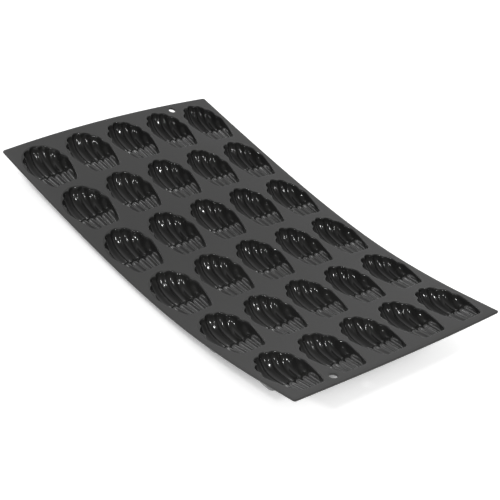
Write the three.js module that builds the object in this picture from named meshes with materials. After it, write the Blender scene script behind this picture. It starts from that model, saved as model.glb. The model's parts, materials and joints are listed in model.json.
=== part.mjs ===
// Silicone baking mould: a thin sheet in six hinged rows, with five shell shaped cups hanging from each row.
// Millimetres, +Z up, the length of the mould along X, its nearer and more lifted end at +X.
import * as THREE from "three";

// The cups: fluted shells whose round end points to -X and whose narrow end points to +X. From its widest place
// the cup's side runs over a rounded shoulder to the narrow end.
const columnCount = 5;
const cupLength = 43;
const cupWidth = 30.6;
const cupDepth = 11;
const cupWall = 1;
const rimWallDepth = 2.4;
const widestToNarrowEnd = 22;
const narrowEndWidth = 16;
const shoulderWidth = 22.4;
const shoulderToNarrowEnd = 0.5;
const roundEndFlutes = 6;
const fluteNotch = 1.8;
const ridgeHeight = 1.6;

// The floor below the rim wall: a shallow shelf at the narrow end, then a drop from the shelf's edge to the deepest
// stretch. The shelf's depths are shares of the whole drop.
const shelfLength = 14.5;
const shelfEdgeToDeepest = 5;
const shelfShareAtNarrowEnd = 0.1;
const shelfShareAtEdge = 0.21;

// The sheet: what is left of it between the cups and round them.
const sheetThickness = 1.3;
const webBetweenRows = 3.34;
const webBetweenColumns = 1.15;
const webAtEnds = 4.85;
const webAtSides = 2.7;
const sheetCornerRadius = 1.5;
const hangHoleDiameter = 5;
const hangHoleInset = 7;
const cupClearance = 0.3;
const hingeGap = 0.9;

// The bend that the sheet has taken, in degrees at each bending line, from the far end to the near one. The feet
// lie nearer the cups' round ends, so the mould leans a little to stand on both of its middle rows.
const bends = [0.3, 0.9, 2.9, 5.3, 4.2];
const standingLean = 0.452;

// The rings of the cup's mesh: where each lies along a flute, from the narrow end to the round end, and how deep the
// round end's wall lets the bowl be there, as a share of the whole drop. The flat foot lies under two of the rings
// and reaches this many flutes to either side.
const ringPlaces = [0, 0.06, 0.34, 0.46, 0.6, 0.72, 0.9, 1];
const roundEndShares = [1, 1, 1, 1, 1, 0.84, 0.32, 0];
const footRings = [4, 5];
const footFlutes = 1;

// Steps of the mesh across one flute of the round end, and along the flute of each straight side.
const stepsPerFlute = 2;
const sideSteps = [0.06, 0.35, 0.7, 1];

const rowCount = bends.length + 1;
const lastRoundFlute = roundEndFlutes / 2;
const lastFlute = lastRoundFlute + 1;
const lastRing = ringPlaces.length - 1;
const narrowEndX = cupLength / 2;
const widestX = narrowEndX - widestToNarrowEnd;
const roundEndReach = cupLength - widestToNarrowEnd;
const cupSeat = cupWall + cupClearance;
const rowPitch = cupLength + 2 * cupSeat + webBetweenRows;
const columnPitch = cupWidth + 2 * cupSeat + webBetweenColumns;
const sheetHalfWidth = ((columnCount - 1) * columnPitch + cupWidth) / 2 + cupSeat + webAtSides;
const rowEdge = (rowPitch - hingeGap) / 2;
const sheetEnd = narrowEndX + cupSeat + webAtEnds;

const sheetMaterial = new THREE.MeshStandardMaterial({ color: "#3a3a3a", roughness: 0.5, metalness: 0 });
const cupMaterial = new THREE.MeshStandardMaterial({ color: "#2a2a2a", roughness: 0.3, metalness: 0 });

// Flutes are counted from the cup's middle line, which runs down a hollow, and are negative towards -Y. Ridges lie
// half way between whole numbers. The outermost flutes end at the cup's widest place, and the sides beyond them are
// plain.
const flutesOfOneSide = [];
for (let step = 1; step <= lastRoundFlute * stepsPerFlute; step += 1) {
  flutesOfOneSide.push(step / stepsPerFlute);
}
flutesOfOneSide.push(...sideSteps.map((step) => lastRoundFlute + step));
const flutes = [...flutesOfOneSide.map((flute) => -flute).reverse(), 0, ...flutesOfOneSide];

// How far into a flute's hollow a place lies: 0 on a ridge, 1 half way between two ridges.
function hollow(flute) {
  const count = Math.min(Math.abs(flute), lastRoundFlute);
  return 1 - (2 * (count - Math.round(count))) ** 2;
}

const shoulderLine = new THREE.QuadraticBezierCurve(
  new THREE.Vector2(widestX, cupWidth / 2),
  new THREE.Vector2(narrowEndX - shoulderToNarrowEnd, shoulderWidth / 2),
  new THREE.Vector2(narrowEndX, narrowEndWidth / 2),
);

// The cup's inner rim. The round end is half an ellipse, drawn in at each ridge.
function rimPoint(flute) {
  const side = Math.sign(flute);
  const count = Math.abs(flute);
  if (count <= lastRoundFlute) {
    const angle = (count / lastRoundFlute) * (Math.PI / 2);
    const onEllipse = new THREE.Vector2(-roundEndReach * Math.cos(angle), (cupWidth / 2) * Math.sin(angle));
    const outward = new THREE.Vector2(-Math.cos(angle) / roundEndReach, Math.sin(angle) / (cupWidth / 2));
    onEllipse.addScaledVector(outward.normalize(), -fluteNotch * (1 - hollow(flute)));
    return new THREE.Vector2(widestX + onEllipse.x, onEllipse.y * side);
  }
  const point = shoulderLine.getPoint(count - lastRoundFlute);
  return new THREE.Vector2(point.x, point.y * side);
}

const rim = flutes.map(rimPoint);

// The rim moved outwards by a distance. The rim runs clockwise, so outwards is to the left of each edge.
function offsetRim(distance) {
  return rim.map((point, index) => {
    const before = rim[(index + rim.length - 1) % rim.length];
    const after = rim[(index + 1) % rim.length];
    const arriving = new THREE.Vector2(before.y - point.y, point.x - before.x).normalize();
    const leaving = new THREE.Vector2(point.y - after.y, after.x - point.x).normalize();
    const mitre = arriving.clone().add(leaving).normalize();
    return point.clone().addScaledVector(mitre, distance / mitre.dot(arriving));
  });
}

// Where a flute starts at the narrow end. They start closer together towards its corners.
function narrowEndPoint(flute, x, corner) {
  const fromCorner = 1 - Math.abs(flute) / lastFlute;
  if (fromCorner === 0) {
    return corner;
  }
  return new THREE.Vector2(x, Math.sign(flute) * (narrowEndWidth / 2) * (1 - fromCorner ** 2));
}

// Share of the whole drop that the floor has reached at a distance from the narrow end.
function floorShare(fromNarrowEnd) {
  if (fromNarrowEnd < shelfLength) {
    return THREE.MathUtils.lerp(shelfShareAtNarrowEnd, shelfShareAtEdge, fromNarrowEnd / shelfLength);
  }
  const pastEdge = Math.min((fromNarrowEnd - shelfLength) / shelfEdgeToDeepest, 1);
  return THREE.MathUtils.lerp(shelfShareAtEdge, 1, pastEdge);
}

// Depth of the cup's inside: a steep rim wall all round, then the bowl, which is shallower towards the sides.
function insideDepth(step, ring) {
  const flute = flutes[step];
  if (ring === 0 || ring === lastRing || Math.abs(flute) === lastFlute) {
    return 0;
  }
  const fromNarrowEnd = (narrowEndX - rim[step].x) * ringPlaces[ring];
  const share = Math.min(floorShare(fromNarrowEnd), roundEndShares[ring]);
  const bowlDepth = (cupDepth - rimWallDepth) * share * (1 - (flute / lastFlute) ** 2);
  return rimWallDepth + bowlDepth - ridgeHeight * (1 - hollow(flute));
}

// Depth of the cup's underside, which starts below the sheet and ends in a small flat foot.
function outsideDepth(step, ring) {
  const footDepth = cupDepth + cupWall;
  if (Math.abs(flutes[step]) <= footFlutes && footRings.includes(ring)) {
    return footDepth;
  }
  return sheetThickness + (insideDepth(step, ring) * (footDepth - sheetThickness)) / cupDepth;
}

// Collects triangles, sharing equal corners and leaving out triangles that close up to a line.
function makeMeshBuilder() {
  const positions = [];
  const triangles = [];
  const known = new Map();
  const corner = (point) => {
    const key = point.toArray().map((value) => Math.round(value * 10000)).join(" ");
    if (!known.has(key)) {
      known.set(key, positions.length / 3);
      positions.push(...point.toArray());
    }
    return known.get(key);
  };
  const triangle = (a, b, c) => {
    const corners = [corner(a), corner(b), corner(c)];
    if (new Set(corners).size === 3) {
      triangles.push(...corners);
    }
  };
  const quad = (a, b, c, d) => {
    triangle(a, b, c);
    triangle(a, c, d);
  };
  const geometry = () => {
    const built = new THREE.BufferGeometry();
    built.setAttribute("position", new THREE.Float32BufferAttribute(positions, 3));
    built.setIndex(triangles);
    built.computeVertexNormals();
    return built;
  };
  return { quad, geometry };
}

// One side of the cup's wall as rows of points, a row for each flute step and a point for each ring.
function bowlPoints(roundEnds, narrowX, depthAt) {
  return flutes.map((flute, step) => {
    const start = narrowEndPoint(flute, narrowX, roundEnds[step]);
    return ringPlaces.map((place, ring) => {
      const plan = start.clone().lerp(roundEnds[step], place);
      return new THREE.Vector3(plan.x, plan.y, -depthAt(step, ring));
    });
  });
}

// The edge of such a wall: along the round end from -Y to +Y, then back along the narrow end.
function bowlEdge(points) {
  const roundEnd = points.map((row) => row[lastRing]);
  const narrowEnd = points.map((row) => row[0]).slice(1, -1).reverse();
  return [...roundEnd, ...narrowEnd];
}

function makeCupGeometry() {
  const { quad, geometry } = makeMeshBuilder();
  const inside = bowlPoints(rim, narrowEndX, insideDepth);
  const outside = bowlPoints(offsetRim(cupWall), narrowEndX + cupWall, outsideDepth);
  for (let row = 0; row < flutes.length - 1; row += 1) {
    for (let ring = 0; ring < lastRing; ring += 1) {
      quad(inside[row][ring], inside[row + 1][ring], inside[row + 1][ring + 1], inside[row][ring + 1]);
      quad(outside[row][ring], outside[row][ring + 1], outside[row + 1][ring + 1], outside[row + 1][ring]);
    }
  }
  const innerEdge = bowlEdge(inside);
  const lowerEdge = bowlEdge(outside);
  const upperEdge = lowerEdge.map((point) => new THREE.Vector3(point.x, point.y, 0));
  for (let index = 0; index < innerEdge.length; index += 1) {
    const next = (index + 1) % innerEdge.length;
    quad(innerEdge[index], innerEdge[next], upperEdge[next], upperEdge[index]);
    quad(upperEdge[index], upperEdge[next], lowerEdge[next], lowerEdge[index]);
  }
  return geometry();
}

const cupGeometry = makeCupGeometry();

function columnY(column) {
  return (column - (columnCount - 1) / 2) * columnPitch;
}

// A row's strip of sheet, square at its bending lines and with rounded corners at the ends of the mould.
function stripOutline(lowX, highX, roundLow, roundHigh) {
  const lowRadius = roundLow ? sheetCornerRadius : 0;
  const highRadius = roundHigh ? sheetCornerRadius : 0;
  const outline = new THREE.Shape();
  outline.moveTo(lowX + lowRadius, -sheetHalfWidth);
  outline.lineTo(highX - highRadius, -sheetHalfWidth);
  outline.quadraticCurveTo(highX, -sheetHalfWidth, highX, -sheetHalfWidth + highRadius);
  outline.lineTo(highX, sheetHalfWidth - highRadius);
  outline.quadraticCurveTo(highX, sheetHalfWidth, highX - highRadius, sheetHalfWidth);
  outline.lineTo(lowX + lowRadius, sheetHalfWidth);
  outline.quadraticCurveTo(lowX, sheetHalfWidth, lowX, sheetHalfWidth - lowRadius);
  outline.lineTo(lowX, -sheetHalfWidth + lowRadius);
  outline.quadraticCurveTo(lowX, -sheetHalfWidth, lowX + lowRadius, -sheetHalfWidth);
  return outline;
}

// The hanging holes lie near opposite corners, between the outer two columns.
function hangHole(x, y) {
  const hole = new THREE.Path();
  hole.absarc(x, y, hangHoleDiameter / 2, 0, 2 * Math.PI, true);
  return hole;
}

function makeStripGeometry(row) {
  const isFirst = row === 0;
  const isLast = row === rowCount - 1;
  const lowX = isFirst ? -sheetEnd : -rowEdge;
  const highX = isLast ? sheetEnd : rowEdge;
  const outline = stripOutline(lowX, highX, isFirst, isLast);
  const cupHole = offsetRim(cupSeat);
  for (let column = 0; column < columnCount; column += 1) {
    const y = columnY(column);
    outline.holes.push(new THREE.Path(cupHole.map((point) => new THREE.Vector2(point.x, point.y + y))));
  }
  const holeY = columnY(columnCount - 1) - columnPitch / 2;
  if (isFirst) {
    outline.holes.push(hangHole(lowX + hangHoleInset, holeY));
  }
  if (isLast) {
    outline.holes.push(hangHole(highX - hangHoleInset, -holeY));
  }
  const strip = new THREE.ExtrudeGeometry(outline, {
    depth: sheetThickness,
    bevelEnabled: false,
    curveSegments: 6,
  });
  return strip.translate(0, 0, -sheetThickness);
}

// A row of the mould lies with the sheet's upper face at z = 0 and the cups' middle at x = 0.
function makeRow(row) {
  const group = new THREE.Group();
  const strip = new THREE.Mesh(makeStripGeometry(row), sheetMaterial);
  strip.name = `web_row_${row + 1}`;
  group.add(strip);
  for (let column = 0; column < columnCount; column += 1) {
    const cup = new THREE.Mesh(cupGeometry, cupMaterial);
    cup.name = `cup_${row + 1}_${column + 1}`;
    cup.position.y = columnY(column);
    group.add(cup);
  }
  return group;
}

// The rows hang on each other from the middle bending line outwards. Each turns up from the one before it.
const mould = new THREE.Group();
const middleLine = new THREE.Group();
mould.add(middleLine);
const rowsBeforeMiddle = Math.floor(rowCount / 2);
const middleBend = bends[rowsBeforeMiddle - 1];
const outerBends = { far: bends.slice(0, rowsBeforeMiddle - 1).reverse(), near: bends.slice(rowsBeforeMiddle) };
for (const side of [-1, 1]) {
  const turns = [middleBend / 2 + side * standingLean, ...(side < 0 ? outerBends.far : outerBends.near)];
  let bendingLine = middleLine;
  turns.forEach((turn, step) => {
    const pivot = new THREE.Group();
    pivot.rotation.y = -side * THREE.MathUtils.degToRad(turn);
    bendingLine.add(pivot);
    const row = makeRow(side < 0 ? rowsBeforeMiddle - 1 - step : rowsBeforeMiddle + step);
    row.position.set((side * rowPitch) / 2, 0, sheetThickness / 2);
    pivot.add(row);
    bendingLine = new THREE.Group();
    bendingLine.position.x = side * rowPitch;
    pivot.add(bendingLine);
  });
}

// The mould stands on the cups of its middle rows, with the origin under the middle of its bounds.
const bounds = new THREE.Box3().setFromObject(mould, true);
const centre = bounds.getCenter(new THREE.Vector3());
middleLine.position.set(-centre.x, -centre.y, -bounds.min.z);

export default mould;
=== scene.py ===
import json
import math

import bmesh
import bpy
import numpy as np
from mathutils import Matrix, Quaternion, Vector
from mathutils.geometry import delaunay_2d_cdt


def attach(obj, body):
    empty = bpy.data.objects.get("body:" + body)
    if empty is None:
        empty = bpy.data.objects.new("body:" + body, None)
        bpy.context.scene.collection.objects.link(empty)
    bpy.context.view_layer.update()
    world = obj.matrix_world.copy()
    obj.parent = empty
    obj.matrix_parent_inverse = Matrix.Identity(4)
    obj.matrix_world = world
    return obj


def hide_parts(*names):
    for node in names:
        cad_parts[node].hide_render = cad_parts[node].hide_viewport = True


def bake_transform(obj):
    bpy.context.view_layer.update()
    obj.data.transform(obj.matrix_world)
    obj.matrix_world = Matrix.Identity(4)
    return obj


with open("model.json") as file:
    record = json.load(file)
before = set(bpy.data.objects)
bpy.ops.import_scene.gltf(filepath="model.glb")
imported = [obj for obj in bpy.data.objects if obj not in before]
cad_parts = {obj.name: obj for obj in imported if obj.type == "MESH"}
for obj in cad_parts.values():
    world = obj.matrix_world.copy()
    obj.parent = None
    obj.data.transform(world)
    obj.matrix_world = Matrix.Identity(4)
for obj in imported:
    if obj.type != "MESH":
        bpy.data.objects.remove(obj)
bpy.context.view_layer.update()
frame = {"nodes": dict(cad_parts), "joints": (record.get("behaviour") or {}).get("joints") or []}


# The mould is one pressing of silicone rubber. It keeps the curl that it took in storage: both ends lift,
# and the sheet is a little crowned and twisted. Every piece is drawn on the flat sheet, in millimetres, and
# laid on this curl, which runs smoothly through the middles of the six rows.
mm = 0.001
rows = 6
columns = 5
sheet_thickness = 1.3
half_length = 150
half_width = 88
crown = 4.56
crown_growth = 2.92
crown_loss_at_ends = 3.26
twist = -1.74
twist_growth = -0.47
side_lift = 0.37
standing_place = 0.78
least_upward = 0.9

joint_places = {joint["name"]: np.array(joint["pos_m"]) / mm for joint in frame["joints"]}
bending_lines = [joint_places[f"bend_{row}_{row + 1}"][[0, 2]] for row in range(1, rows)]
row_pitch = np.linalg.norm(bending_lines[1] - bending_lines[0])
headings = []
row_middles = []
for row in range(rows):
    faces = frame["nodes"][f"web_row_{row + 1}"].data.polygons
    upper_faces = [face for face in faces if face.normal.z > least_upward]
    up = sum((face.normal * face.area for face in upper_faces), Vector()).normalized()
    heading = np.array([up.z, -up.x])
    line, side = (bending_lines[0], -1) if row == 0 else (bending_lines[row - 1], 1)
    headings.append(heading)
    row_middles.append(line + side * heading * row_pitch / 2)
headings = np.array(headings)
row_middles = np.array(row_middles)


def row_along(row):
    """Place of a row's middle along the flat sheet, from the middle of the mould."""
    return (row - (rows - 1) / 2) * row_pitch


def curl(along):
    """Place (x, z) and heading of the sheet's mid thickness at a distance along the flat sheet."""
    place = along / row_pitch + (rows - 1) / 2
    within = np.clip(place, 0, rows - 1)
    first = np.minimum(within.astype(int), rows - 2)
    u = (within - first)[..., None]
    before, after = row_middles[first], row_middles[first + 1]
    leaving, arriving = headings[first] * row_pitch, headings[first + 1] * row_pitch
    point = (2 * u**3 - 3 * u**2 + 1) * before + (u**3 - 2 * u**2 + u) * leaving
    point = point + (3 * u**2 - 2 * u**3) * after + (u**3 - u**2) * arriving
    heading = (6 * u**2 - 6 * u) * (before - after)
    heading = heading + (3 * u**2 - 4 * u + 1) * leaving + (3 * u**2 - 2 * u) * arriving
    heading = heading / np.linalg.norm(heading, axis=-1, keepdims=True)
    return point + heading * ((place - within) * row_pitch)[..., None], heading


def lay(along, across, depth):
    """Point in metres on the curled mould, from a place on the flat sheet and a depth below its top."""
    t, v = along / half_length, across / half_width
    bow = crown * (standing_place**2 - v**2) + crown_growth * v**2 * t + crown_loss_at_ends * v**2 * t**2
    bow = bow + twist * v * t + twist_growth * v * t**2 + side_lift * v**3
    height = sheet_thickness / 2 + bow - depth
    point, heading = curl(along)
    x = point[..., 0] - heading[..., 1] * height
    z = point[..., 1] + heading[..., 0] * height
    return np.stack([x, across + 0 * x, z], -1) * mm


# The cups are scallop shells of the same rubber. Below a steep rim wall a shallow shelf runs from the narrow
# end and drops into the bowl. Ridges run along both and scallop the half round end. The form is a depth over
# the cup's plan, and the underside follows it at the wall's thickness, down to a flat foot.
column_pitch = 34.35
cup_length = 43
cup_width = 30.6
cup_depth = 11
cup_wall = 1.0
rim_wall_depth = 2.4
rim_wall_run = 0.8
widest_to_narrow_end = 22
narrow_end_width = 16
shoulder_width = 22.4
shoulder_to_narrow_end = 0.5
round_end_flutes = 6
steps_a_flute = 10
flute_notch = 1.8
ridge_height = 1.8
shelf_length = 14.5
shelf_edge_to_deepest = 5
shelf_share_at_narrow_end = 0.1
shelf_share_at_edge = 0.21
shelf_ridge_share = 0.65
shelf_flute_width = 4.2
round_end_places = (0.6, 0.7, 0.8, 0.86, 0.91, 0.95, 1)
round_end_shares = (1, 0.97, 0.87, 0.74, 0.56, 0.33, 0)
floor_softness = 1.2
rim_softness = 0.25
underside_softness = 0.35
softening_reach = 3
foot_middle = -6.5
foot_half_length = 3.4
foot_half_width = 5.6
foot_squareness = 4
map_step = 0.2
map_margin = 1e-6
flute_halvings = 30

narrow_end = cup_length / 2
widest = narrow_end - widest_to_narrow_end
last_round_flute = round_end_flutes / 2
last_flute = last_round_flute + 1


def hollow(flute):
    """0 on a ridge, 1 half way between two ridges. The middle line runs down a hollow."""
    return 1 - (2 * ((np.abs(flute) + 0.5) % 1) - 1) ** 2


def rim_point(flute, notch):
    """Place on the rim with a flute number, which is 0 on the middle line and negative at -Y."""
    count = np.abs(flute)
    drawn_in = notch * (1 - hollow(flute))
    angle = np.minimum(count / last_round_flute, 1) * math.pi / 2
    reach = cup_length - widest_to_narrow_end
    outward = np.stack([-np.cos(angle) / reach, np.sin(angle) / (cup_width / 2)], -1)
    outward = outward / np.linalg.norm(outward, axis=-1, keepdims=True)
    rounded = np.stack([widest - reach * np.cos(angle), cup_width / 2 * np.sin(angle)], -1)
    rounded = rounded - outward * drawn_in[..., None]
    down = np.clip(count - last_round_flute, 0, 1)[..., None]
    first = np.array([widest, cup_width / 2])
    shoulder = np.array([narrow_end - shoulder_to_narrow_end, shoulder_width / 2])
    last = np.array([narrow_end, narrow_end_width / 2])
    straight = (1 - down) ** 2 * first + 2 * down * (1 - down) * shoulder + down**2 * last
    rim = np.where((count <= last_round_flute)[..., None], rounded, straight)
    return rim * np.stack([np.ones_like(count), np.where(flute < 0, -1, 1)], -1)


def soften(depths, softness):
    """Rounds the edges of a depth map."""
    reach = math.ceil(softening_reach * softness / map_step)
    weights = np.exp(-0.5 * (np.arange(-reach, reach + 1) * map_step / softness) ** 2)
    weights = weights / weights.sum()
    for axis in (0, 1):
        padding = [(reach, reach) if axis == n else (0, 0) for n in (0, 1)]
        padded = np.pad(depths, padding, mode="edge")
        places = np.arange(depths.shape[axis])
        depths = sum(weight * np.take(padded, places + n, axis) for n, weight in enumerate(weights))
    return depths


def inside(loop, points):
    """Which points lie inside a closed loop."""
    ends = np.roll(loop, -1, 0)
    x, y = points[:, :1], points[:, 1:]
    passes = (loop[:, 1] > y) != (ends[:, 1] > y)
    rise = np.where(loop[:, 1] == ends[:, 1], 1, ends[:, 1] - loop[:, 1])
    meets = loop[:, 0] + (y - loop[:, 1]) / rise * (ends[:, 0] - loop[:, 0])
    return (passes & (x < meets)).sum(1) % 2 == 1


flute_numbers = np.linspace(-last_flute, last_flute, round(2 * last_flute * steps_a_flute) + 1)
flute_rims = rim_point(flute_numbers, flute_notch)
from_corner = 1 - np.abs(flute_numbers) / last_flute
start_across = np.sign(flute_numbers) * narrow_end_width / 2 * (1 - from_corner**2)
flute_starts = np.stack([np.full_like(flute_numbers, narrow_end), start_across], -1)
rim_loop = np.concatenate([flute_rims, flute_starts[-2:0:-1]])

# The flute number at every place of the plan, and how far along its flute the place lies.
steps_x = round(row_pitch / map_step / 2)
steps_y = round(column_pitch / map_step / 2)
places_x = np.arange(-steps_x, steps_x + 1) * map_step
places_y = np.arange(-steps_y, steps_y + 1) * map_step
map_x, map_y = np.meshgrid(places_x, places_y, indexing="ij")
inner_flute, outer_flute = np.zeros_like(map_x), np.full_like(map_x, last_round_flute)
for _ in range(flute_halvings):
    flute = (inner_flute + outer_flute) / 2
    start = np.stack([np.full_like(flute, narrow_end), shelf_flute_width * flute], -1)
    run = rim_point(flute, flute_notch) - start
    beyond = run[..., 0] * (np.abs(map_y) - start[..., 1]) < run[..., 1] * (map_x - start[..., 0])
    inner_flute, outer_flute = np.where(beyond, flute, inner_flute), np.where(beyond, outer_flute, flute)
from_start = np.stack([map_x, np.abs(map_y)], -1) - start
along_flute = np.clip((from_start * run).sum(-1) / (run * run).sum(-1), 0, 1)

# The bowl's depth: the rim wall, the shelf and the floor below it, less the ridges.
within_rim = inside(rim_loop, np.stack([map_x, map_y], -1).reshape(-1, 2)).reshape(map_x.shape)
to_rim = np.full_like(map_x, np.inf)
for tail, head in zip(rim_loop, np.roll(rim_loop, -1, 0)):
    edge = head - tail
    along_edge = ((map_x - tail[0]) * edge[0] + (map_y - tail[1]) * edge[1]) / (edge @ edge)
    along_edge = np.clip(along_edge, 0, 1)
    gap_x = map_x - tail[0] - along_edge * edge[0]
    gap_y = map_y - tail[1] - along_edge * edge[1]
    to_rim = np.minimum(to_rim, np.hypot(gap_x, gap_y))
rim_wall = np.where(within_rim, 1 - (1 - np.minimum(to_rim / rim_wall_run, 1)) ** 2, 0)
from_shelf_edge = np.clip((narrow_end - map_x - shelf_length) / shelf_edge_to_deepest, 0, 1)
shelf_run = np.clip((narrow_end - map_x) / shelf_length, 0, 1)
shelf = shelf_share_at_narrow_end + (shelf_share_at_edge - shelf_share_at_narrow_end) * shelf_run
floor_share = shelf + (1 - shelf) * from_shelf_edge
round_end_share = np.interp(along_flute, round_end_places, round_end_shares)
depth_share = soften(np.minimum(floor_share, round_end_share), floor_softness)
bowl = (cup_depth - rim_wall_depth) * depth_share * (1 - (flute / last_flute) ** 2)
ridge_share = shelf_ridge_share + (1 - shelf_ridge_share) * from_shelf_edge
ridges = ridge_height * (1 - hollow(flute)) * ridge_share
bowl_map = rim_wall * (rim_wall_depth + bowl - ridges)
bowl_map = soften(np.maximum(bowl_map, 0), rim_softness)

# The underside's depth: the bowl's, grown by the wall's thickness in all directions.
reach = round(cup_wall / map_step)
padded = np.pad(bowl_map, reach, mode="edge")
under_map = np.full_like(bowl_map, sheet_thickness)
for i in range(-reach, reach + 1):
    for j in range(-reach, reach + 1):
        if i * i + j * j <= reach * reach:
            neighbour = padded[reach + i:, reach + j:][:bowl_map.shape[0], :bowl_map.shape[1]]
            wall_below = map_step * math.sqrt(reach * reach - i * i - j * j)
            under_map = np.maximum(under_map, neighbour + wall_below)
from_foot_x = np.abs(map_x - foot_middle) / foot_half_length
from_foot_y = np.abs(map_y) / foot_half_width
on_foot = from_foot_x**foot_squareness + from_foot_y**foot_squareness < 1
under_map = soften(np.where(on_foot, cup_depth + cup_wall, under_map), underside_softness)


def depth_at(depths, along, across):
    """Depth from a cup's map at places on the flat sheet, each read from the cup that is nearest to it."""
    row = np.clip(np.round(along / row_pitch + (rows - 1) / 2), 0, rows - 1)
    column = np.clip(np.round(across / column_pitch + (columns - 1) / 2), 0, columns - 1)
    column_across = (column - (columns - 1) / 2) * column_pitch
    x = np.clip((along - row_along(row)) / map_step + steps_x, 0, 2 * steps_x - map_margin)
    y = np.clip((across - column_across) / map_step + steps_y, 0, 2 * steps_y - map_margin)
    i, j = x.astype(int), y.astype(int)
    u, w = x - i, y - j
    near = depths[i, j] * (1 - w) + depths[i, j + 1] * w
    far = depths[i + 1, j] * (1 - w) + depths[i + 1, j + 1] * w
    return near * (1 - u) + far * u


def lay_top(plan):
    """Points of the mould's upper face over places on the flat sheet."""
    return lay(plan[..., 0], plan[..., 1], depth_at(bowl_map, plan[..., 0], plan[..., 1]))


def lay_under(plan):
    """Points of the mould's underside below places on the flat sheet."""
    return lay(plan[..., 0], plan[..., 1], depth_at(under_map, plan[..., 0], plan[..., 1]))


# The sheet between the cups, one strip of silicone rubber for each row. It is pressed in one go with the
# cups, against a satin finished part of the tool. Its outer edges and two hanging holes have soft edges.
sheet_overhang = 27.65
corner_radius = 1.5
edge_radius = 0.35
flex_half_width = 1.85
cup_seam = 0.9
hang_hole_radius = 2.5
hang_hole_inset = 7
sheet_grey = "#2b2b2b"
sheet_grey_worn = "#323231"
sheet_roughness = 0.42
sheet_roughness_spread = 0.05
sheet_grain_depth = 0.006
silicone_ior = 1.41
cloud_size = 22
cloud_detail = 3
palest_cloud = 0.7
darkest_cloud = 0.3
grain_size = 0.45
grain_detail = 2


def linear(colour):
    """Linear colour from an sRGB hex colour."""
    levels = [int(colour[n:n + 2], 16) / 255 for n in (1, 3, 5)]
    levels = [level / 12.92 if level <= 0.04045 else ((level + 0.055) / 1.055) ** 2.4 for level in levels]
    return levels + [1]


def add_node(material, kind, inputs=(), **settings):
    """Adds a shader node with its settings and with values or links for its inputs."""
    node = material.node_tree.nodes.new(kind)
    for name, value in settings.items():
        setattr(node, name, value)
    for name, value in dict(inputs).items():
        if isinstance(value, bpy.types.NodeSocket):
            material.node_tree.links.new(value, node.inputs[name])
        else:
            node.inputs[name].default_value = value
    return node


def silicone(name, colour, worn_colour, roughness, roughness_spread, grain_depth):
    """Moulded silicone rubber, clouded by handling. Its grain is drawn coarser than it is, to show."""
    material = bpy.data.materials.new(name)
    material.use_nodes = True
    shader = material.node_tree.nodes["Principled BSDF"]
    place = add_node(material, "ShaderNodeTexCoord").outputs["Object"]
    clouds = add_node(material, "ShaderNodeTexNoise", {
        "Vector": place, "Scale": 1 / (cloud_size * mm), "Detail": cloud_detail})
    grains = add_node(material, "ShaderNodeTexNoise", {
        "Vector": place, "Scale": 1 / (grain_size * mm), "Detail": grain_detail})
    wear = add_node(material, "ShaderNodeMapRange", {
        "Value": clouds.outputs["Fac"], "From Min": darkest_cloud, "From Max": palest_cloud})
    # A mix node has its two colours at inputs 6 and 7, and the mixed colour at output 2.
    mix = add_node(material, "ShaderNodeMix", {
        "Factor": wear.outputs["Result"], 6: linear(colour), 7: linear(worn_colour)}, data_type="RGBA")
    gloss = add_node(material, "ShaderNodeMapRange", {
        "Value": clouds.outputs["Fac"], "From Min": darkest_cloud, "From Max": palest_cloud,
        "To Min": roughness - roughness_spread, "To Max": roughness + roughness_spread})
    bump = add_node(material, "ShaderNodeBump", {
        "Height": grains.outputs["Fac"], "Strength": 1, "Distance": grain_depth * mm})
    links = material.node_tree.links
    links.new(mix.outputs[2], shader.inputs["Base Color"])
    links.new(gloss.outputs["Result"], shader.inputs["Roughness"])
    links.new(bump.outputs["Normal"], shader.inputs["Normal"])
    shader.inputs["IOR"].default_value = silicone_ior
    return material


# Satin moulded silicone rubber: a matt dark grey with broad dull highlights and a fine even grain.
satin_silicone = silicone("silicone_rubber_satin_moulded", sheet_grey, sheet_grey_worn,
                          sheet_roughness, sheet_roughness_spread, sheet_grain_depth)

envelope = np.concatenate([rim_point(flute_numbers, 0), flute_starts[-2:0:-1]])


def loop_round_cup(distance):
    """Closed loop at a distance outside the smooth outline that a cup's flutes touch. It runs clockwise."""
    edges = np.roll(envelope, -1, 0) - envelope
    leaving = np.stack([-edges[:, 1], edges[:, 0]], -1) / np.linalg.norm(edges, axis=1, keepdims=True)
    arriving = np.roll(leaving, 1, 0)
    mitre = (leaving + arriving) / np.linalg.norm(leaving + arriving, axis=1, keepdims=True)
    return envelope + mitre * (distance / (mitre * arriving).sum(1))[:, None]


def cup_middle(row, column):
    """Place of a cup's middle on the flat sheet."""
    return np.array([row_along(row), (column - (columns - 1) / 2) * column_pitch])


def grid_faces(lines, points, closed):
    """Faces of a grid of points, line after line. A closed grid joins each line's end to its start."""
    index = np.arange(lines * points).reshape(lines, points)
    if closed:
        index = np.concatenate([index, index[:, :1]], 1)
    corners = [index[:-1, :-1], index[1:, :-1], index[1:, 1:], index[:-1, 1:]]
    return np.stack(corners, -1).reshape(-1, 4).tolist()


edge_steps = 4
edge_turn = np.linspace(0, math.pi / 2, edge_steps + 1)
edge_reach = edge_radius * np.sin(np.concatenate([edge_turn, edge_turn[::-1]]))
edge_drop = edge_radius * (1 - np.cos(edge_turn))


def edge_band(outline, outward):
    """Soft edge of the sheet round a closed outline, from its upper face to its underside."""
    insets = edge_radius - edge_reach
    plans = outline[None] - outward[None] * insets[:, None, None]
    lower = depth_at(under_map, *(outline - outward * edge_radius).T)
    depths = np.concatenate([edge_drop[:, None] + 0 * lower, lower - edge_drop[::-1, None]])
    points = lay(plans[..., 0], plans[..., 1], depths)
    return points.reshape(-1, 3), grid_faces(len(points), len(outline), True)


sharp_angle = math.radians(50)
joining_distance = 0.003


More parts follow.
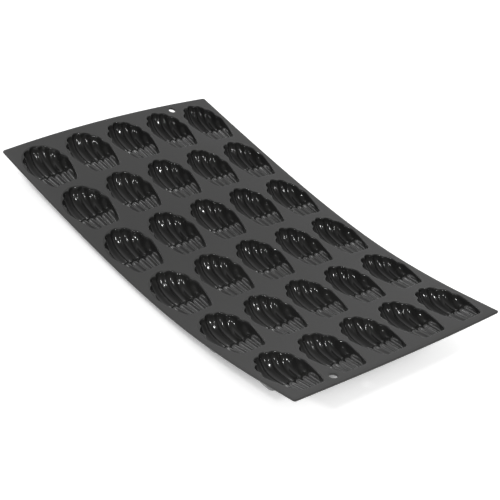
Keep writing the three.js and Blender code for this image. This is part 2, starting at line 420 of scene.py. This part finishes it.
def make_piece(name, patches, material):
    """Joins patches of points and faces into one closed mesh, smooth but for its sharp edges."""
    work = bmesh.new()
    for points, faces in patches:
        corners = [work.verts.new(point) for point in points]
        for face in faces:
            work.faces.new([corners[n] for n in face])
    bmesh.ops.remove_doubles(work, verts=work.verts, dist=joining_distance * mm)
    bmesh.ops.recalc_face_normals(work, faces=work.faces)
    for face in work.faces:
        face.smooth = True
    for edge in work.edges:
        edge.smooth = edge.calc_face_angle() < sharp_angle
    mesh = bpy.data.meshes.new(name)
    work.to_mesh(mesh)
    work.free()
    mesh.materials.append(material)
    piece = bpy.data.objects.new(name, mesh)
    bpy.context.scene.collection.objects.link(piece)
    return piece


seam_steps = 58
seam_places = np.linspace(-half_width, half_width, seam_steps + 1)
corner_steps = 6


def end_outline(along, facing, trimmed):
    """One end of a strip, with the material on the left: its points and which way is out of the sheet."""
    if not trimmed:
        outward = np.zeros((len(seam_places), 2))
        outward[0], outward[-1] = (0, -1), (0, 1)
        points = np.stack([np.full(len(seam_places), along), seam_places], -1)
        return (points, outward) if facing > 0 else (points[::-1], outward[::-1])
    turn = np.linspace(0, math.pi / 2, corner_steps + 1)
    corner = np.stack([np.sin(turn), -np.cos(turn)], -1)
    corner_middle = np.array([along / facing - corner_radius, -half_width + corner_radius])
    first = corner_middle + corner_radius * corner
    middle = seam_places[1:-1]
    straight = np.stack([np.full(len(middle), along / facing), middle], -1)
    points = np.concatenate([first, straight, first[::-1] * (1, -1)]) * facing
    outward = np.concatenate([corner, np.tile([1, 0], (len(middle), 1)), corner[::-1] * (1, -1)]) * facing
    return points, outward


side_steps = 15
hole_steps = 36
hole_clearance_ratio = 1.3
spot_spacing = 3
spot_margin = 2
spots_across = 79
spots_to_seam = 0.45
ring_to_seam = 0.12
triangle_tolerance = 1e-5

for row in range(rows):
    is_first, is_last = row == 0, row == rows - 1
    low = row_along(row) - (sheet_overhang if is_first else row_pitch / 2 - flex_half_width)
    high = row_along(row) + (sheet_overhang if is_last else row_pitch / 2 - flex_half_width)
    side = np.linspace(low + corner_radius, high - corner_radius, side_steps + 1)
    near_side = np.stack([side, np.full(len(side), -half_width)], -1)
    high_end, high_outward = end_outline(high, 1, is_last)
    low_end, low_outward = end_outline(low, -1, is_first)
    outline = np.concatenate([near_side[1:-1], high_end, near_side[-2:0:-1] * (1, -1), low_end])
    outward = np.concatenate([np.tile([0, -1], (len(side) - 2, 1)), high_outward,
                              np.tile([0, 1], (len(side) - 2, 1)), low_outward])
    bands = [edge_band(outline, outward)]

    # The openings for the cups, and the hanging hole of an end strip.
    cup_middles = [cup_middle(row, column) for column in range(columns)]
    openings = [loop_round_cup(cup_seam) + middle for middle in cup_middles]
    for opening in openings:
        wall = np.concatenate([lay_top(opening), lay_under(opening)])
        bands.append((wall, grid_faces(2, len(opening), True)))
    clear_of = [loop_round_cup(cup_seam + spots_to_seam) + middle for middle in cup_middles]
    if is_first or is_last:
        facing = 1 if is_last else -1
        hole_middle = np.array([(high if is_last else low) - facing * hang_hole_inset,
                                -facing * (columns - 2) / 2 * column_pitch])
        turn = np.linspace(0, 2 * math.pi, hole_steps, endpoint=False)
        towards_middle = -np.stack([np.cos(turn), np.sin(turn)], -1)
        hole = hole_middle - hang_hole_radius * towards_middle
        bands.append(edge_band(hole, towards_middle))
        opening = hole - towards_middle * edge_radius
        openings.append(opening)
        clear_of.append((opening - opening.mean(0)) * hole_clearance_ratio + opening.mean(0))

    # Triangles between the outline and the openings, through evenly spaced spots.
    spots_x = np.arange(low + spot_margin, high - spot_margin / 2, spot_spacing)
    spots_y = np.linspace(spot_margin - half_width, half_width - spot_margin, spots_across)
    spots = np.stack(np.meshgrid(spots_x, spots_y, indexing="ij"), -1).reshape(-1, 2)
    spots = spots[~np.any([inside(loop, spots) for loop in clear_of], axis=0)]
    seam_rings = [loop_round_cup(cup_seam + ring_to_seam) + middle for middle in cup_middles]
    loops = [outline - outward * edge_radius] + openings
    loop_edges = []
    count = 0
    for loop in loops:
        loop_edges += [(count + n, count + (n + 1) % len(loop)) for n in range(len(loop))]
        count += len(loop)
    flat_points = [Vector(point) for point in np.concatenate(loops + [spots] + seam_rings)]
    found, _, triangles, _, _, _ = delaunay_2d_cdt(flat_points, loop_edges, [], 0, triangle_tolerance)
    found, triangles = np.array(found), np.array(triangles)
    middles = found[triangles].mean(1)
    kept = triangles[~np.any([inside(loop, middles) for loop in openings], axis=0)].tolist()

    patches = [(lay_top(found), kept), (lay_under(found), kept)] + bands
    strip = make_piece(f"sheet_row_{row + 1}", patches, satin_silicone)
    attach(strip, f"row_{row + 1}")
    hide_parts(f"web_row_{row + 1}")


# The narrow web of the same sheet between two rows, where the mould bends. It is part of the same pressing,
# so it joins the strips on both sides without a step.
flex_steps = 12

for row in range(rows - 1):
    line = row_along(row) + row_pitch / 2
    stations = np.linspace(line - flex_half_width, line + flex_half_width, flex_steps + 1)
    across = np.concatenate([[-half_width + edge_radius], seam_places[1:-1], [half_width - edge_radius]])
    flat = np.stack(np.meshgrid(stations, across, indexing="ij"), -1)
    flat_faces = grid_faces(len(stations), len(across), False)
    patches = [(lay_top(flat).reshape(-1, 3), flat_faces), (lay_under(flat).reshape(-1, 3), flat_faces)]
    side_edges = []
    for facing, place in ((-1, 0), (1, -1)):
        lower = depth_at(under_map, stations, np.full(len(stations), across[place]))
        depths = np.concatenate([edge_drop + 0 * lower[:, None], lower[:, None] - edge_drop[::-1]], 1)
        along = np.repeat(stations[:, None], len(edge_reach), 1)
        points = lay(along, across[place] + facing * edge_reach + 0 * along, depths)
        patches.append((points.reshape(-1, 3), grid_faces(len(stations), len(edge_reach), False)))
        side_edges.append(points)
    low_edges, high_edges = side_edges
    for end in (0, -1):
        top, under = lay_top(flat[end]), lay_under(flat[end])
        ring = np.concatenate([top, high_edges[end][1:-1], under[::-1], low_edges[end][-2:0:-1]])
        patches.append((ring, [list(range(len(ring)))]))
    flex = make_piece(f"sheet_flex_{row + 1}_{row + 2}", patches, satin_silicone)
    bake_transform(flex)


# The thirty cups, thin skins of silicone rubber. Their part of the tool is polished so that cakes come away.
# Each hangs in its opening in the strip and is one skin with it.
bowl_steps = 26
rim_steps = 6
# The cups' greys are painted darker than the sheet's, as painted shade in their hollows. The rubber itself
# is the same.
cup_painted_shade_grey = "#232323"
cup_painted_shade_grey_worn = "#292928"
cup_roughness = 0.13
cup_roughness_spread = 0.03
cup_grain_depth = 0.0015

# Polished moulded silicone rubber. Its grey is painted darker than the sheet's as painted shade in the cups'
# hollows, and it has small sharp highlights along the flutes.
polished_silicone_painted_darker = silicone("silicone_rubber_polished_painted_darker", cup_painted_shade_grey, cup_painted_shade_grey_worn,
                             cup_roughness, cup_roughness_spread, cup_grain_depth)

bowl_shares = (1 - np.cos(np.linspace(0, math.pi, bowl_steps + 1))) / 2
bowl_plan = flute_starts[:, None] + (flute_rims - flute_starts)[:, None] * bowl_shares[:, None]
rim_shares = np.linspace(0, 1, rim_steps + 1)
rim_plan = rim_loop + (loop_round_cup(cup_seam) - rim_loop) * rim_shares[:, None, None]
bowl_faces = grid_faces(*bowl_plan.shape[:2], False)
rim_faces = grid_faces(*rim_plan.shape[:2], True)
for row in range(rows):
    for column in range(columns):
        middle = cup_middle(row, column)
        patches = []
        for plan, plan_faces in ((bowl_plan + middle, bowl_faces), (rim_plan + middle, rim_faces)):
            patches.append((lay_top(plan).reshape(-1, 3), plan_faces))
            patches.append((lay_under(plan).reshape(-1, 3), plan_faces))
        seam = rim_plan[-1] + middle
        wall = np.concatenate([lay_top(seam), lay_under(seam)])
        patches.append((wall, grid_faces(2, len(seam), True)))
        cup = make_piece(f"cup_shell_{row + 1}_{column + 1}", patches, polished_silicone_painted_darker)
        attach(cup, f"row_{row + 1}")
        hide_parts(f"cup_{row + 1}_{column + 1}")


# The white paper table of a catalogue photo, with a soft shadow where the mould stands. The room is white
# behind the mould and dim on the camera's side. Two small lamps stand beside the camera, and a strip lamp
# stands high up beyond the far end.
paper_white = "#f4f4f4"
glow_white = "#ffffff"
paper_roughness = 0.9
paper_glow = 0.6
paper_reach = 4
shadow_height = 120
shadow_samples = 16
darkest_shadow = 0.12
end_of_shadow = 0.28
white_side = (-0.6, 0.66, 0.45)
start_of_white = 0.1
full_white = 0.85
dim_level = 0.19

floor_mesh = bpy.data.meshes.new("floor")
floor_corners = [(x * paper_reach, y * paper_reach, 0) for x, y in ((-1, -1), (1, -1), (1, 1), (-1, 1))]
floor_mesh.from_pydata(floor_corners, [], [(0, 1, 2, 3)])
floor = bpy.data.objects.new("floor", floor_mesh)
bpy.context.scene.collection.objects.link(floor)

# Uncoated white paper: matt, and evenly bright to the camera and in reflections, except for a painted shadow
# where the mould hangs above it.
paper = bpy.data.materials.new("paper_backdrop_white")
paper.use_nodes = True
paper_shader = paper.node_tree.nodes["Principled BSDF"]
paper_shader.inputs["Base Color"].default_value = linear(paper_white)
paper_shader.inputs["Roughness"].default_value = paper_roughness
paper_shader.inputs["Emission Color"].default_value = linear(glow_white)
rays = add_node(paper, "ShaderNodeLightPath").outputs
seen_or_mirrored = add_node(paper, "ShaderNodeMath", {
    0: rays["Is Camera Ray"], 1: rays["Is Glossy Ray"]}, operation="MAXIMUM")
seen = add_node(paper, "ShaderNodeMath", {
    0: seen_or_mirrored.outputs[0], 1: rays["Is Transmission Ray"]}, operation="MAXIMUM")
# The paper's glow fades where the mould hangs close above it. This is a painted shadow, added to the lamps'
# own.
open_above = add_node(paper, "ShaderNodeAmbientOcclusion", {
    "Distance": shadow_height * mm}, samples=shadow_samples)
clear_of_shadow = add_node(paper, "ShaderNodeMapRange", {
    "Value": open_above.outputs["AO"], "From Min": darkest_shadow, "From Max": end_of_shadow,
    "To Min": 0, "To Max": paper_glow})
glow = add_node(paper, "ShaderNodeMath", {
    0: seen.outputs[0], 1: clear_of_shadow.outputs["Result"]}, operation="MULTIPLY")
paper.node_tree.links.new(glow.outputs[0], paper_shader.inputs["Emission Strength"])
floor_mesh.materials.append(paper)

room = bpy.data.worlds.new("white_room")
bpy.context.scene.world = room
room.use_nodes = True
room_light = room.node_tree.nodes["Background"]
room_light.inputs["Color"].default_value = linear(glow_white)
towards = add_node(room, "ShaderNodeTexCoord").outputs["Generated"]
whiteness = add_node(room, "ShaderNodeVectorMath", {0: towards, 1: white_side}, operation="DOT_PRODUCT")
level = add_node(room, "ShaderNodeMapRange", {
    "Value": whiteness.outputs["Value"], "From Min": start_of_white, "From Max": full_white,
    "To Min": dim_level, "To Max": 1})
room.node_tree.links.new(level.outputs["Result"], room_light.inputs["Strength"])

lamp_size = 0.05
lamp_power = 2.1
left_lamp_place = (0.24, -0.72, 0.5)
right_lamp_place = (0.62, -0.45, 0.6)
strip_lamp_place = (-0.81, 0.04, 0.585)
strip_lamp_width = 0.1
strip_lamp_length = 0.35
strip_lamp_power = 0.8


def soft_lamp(name, place, width, length, power):
    """Rectangular soft lamp that faces the middle of the mould."""
    lamp = bpy.data.objects.new(name, bpy.data.lights.new(name, "AREA"))
    lamp.data.shape = "RECTANGLE"
    lamp.data.size = width
    lamp.data.size_y = length
    lamp.data.energy = power
    lamp.location = place
    lamp.rotation_mode = "QUATERNION"
    lamp.rotation_quaternion = (-Vector(place)).to_track_quat("-Z", "Y")
    bpy.context.scene.collection.objects.link(lamp)


soft_lamp("lamp_left_of_camera", left_lamp_place, lamp_size, lamp_size, lamp_power)
soft_lamp("lamp_above_far_end", strip_lamp_place, strip_lamp_width, strip_lamp_length, strip_lamp_power)
soft_lamp("lamp_right_of_camera", right_lamp_place, lamp_size, lamp_size, lamp_power)

bpy.context.scene.view_settings.view_transform = "Standard"


# The camera stands off the mould's nearest corner, at the near end and the -Y side, and looks down on it
# through a longish lens. It is tipped a little to one side.
camera_place = Vector((444.12, -487.44, 481.25)) * mm
camera_aim = Vector((13.84, -1.85, 14.77)) * mm
camera_tip = math.radians(14.204)
sensor_width = 36
focal_length = 88.79

camera = bpy.data.objects.new("camera", bpy.data.cameras.new("camera"))
camera.data.sensor_width = sensor_width
camera.data.lens = focal_length
camera.location = camera_place
camera.rotation_mode = "QUATERNION"
level_view = (camera_aim - camera_place).to_track_quat("-Z", "Y")
camera.rotation_quaternion = level_view @ Quaternion((0, 0, 1), camera_tip)
bpy.context.scene.collection.objects.link(camera)
bpy.context.scene.camera = camera

bpy.context.view_layer.update()
